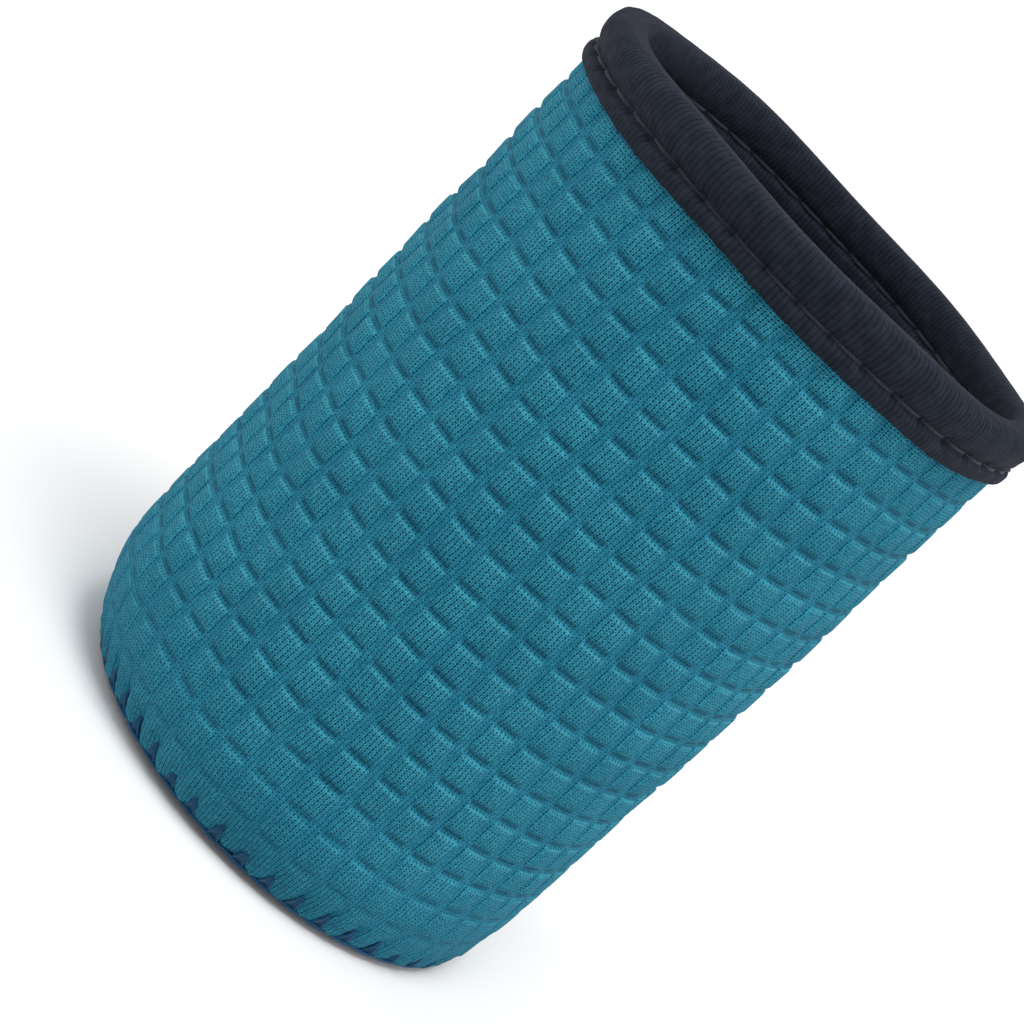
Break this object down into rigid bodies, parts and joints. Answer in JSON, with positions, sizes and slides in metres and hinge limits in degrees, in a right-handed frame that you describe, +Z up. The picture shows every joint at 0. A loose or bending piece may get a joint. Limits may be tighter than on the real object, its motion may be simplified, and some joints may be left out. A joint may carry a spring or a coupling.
{
  "type": "wash mitt",
  "caption": "Tube-shaped wash mitt of block-embossed knit bonded to foam, with a sewn round closed end and a bound mouth for the hand.",
  "frame": {"origin": "centre of the closed end's underside, where the mitt stands on a surface", "axes": "+Z up the mitt's axis towards the mouth, +Y towards the wall's closing seam at the back"},
  "size_m": [0.1132, 0.1132, 0.157],
  "materials": {
    "embossed_knit": "teal jersey knit, matte, embossed in square blocks",
    "foam": "closed-cell foam sheet, matte",
    "lining_knit": "pale grey jersey knit, matte",
    "base_knit": "black jersey knit, matte",
    "binding_tape": "black ribbed knit tape, soft sheen",
    "black_thread": "spun thread, matte",
    "blue_thread": "spun thread, soft sheen"
  },
  "bodies": {
    "root": {"wall_face": "embossed_knit", "wall_foam": "foam", "wall_lining": "lining_knit", "base_face": "base_knit", "base_foam": "foam", "base_lining": "lining_knit", "mouth_binding": "binding_tape", "binding_needle_thread": "black_thread", "binding_bobbin_thread": "black_thread", "back_seam_needle_thread": "blue_thread", "back_seam_bobbin_thread": "blue_thread", "base_seam_needle_thread": "blue_thread", "base_seam_bobbin_thread": "blue_thread"}
  },
  "joints": []
}
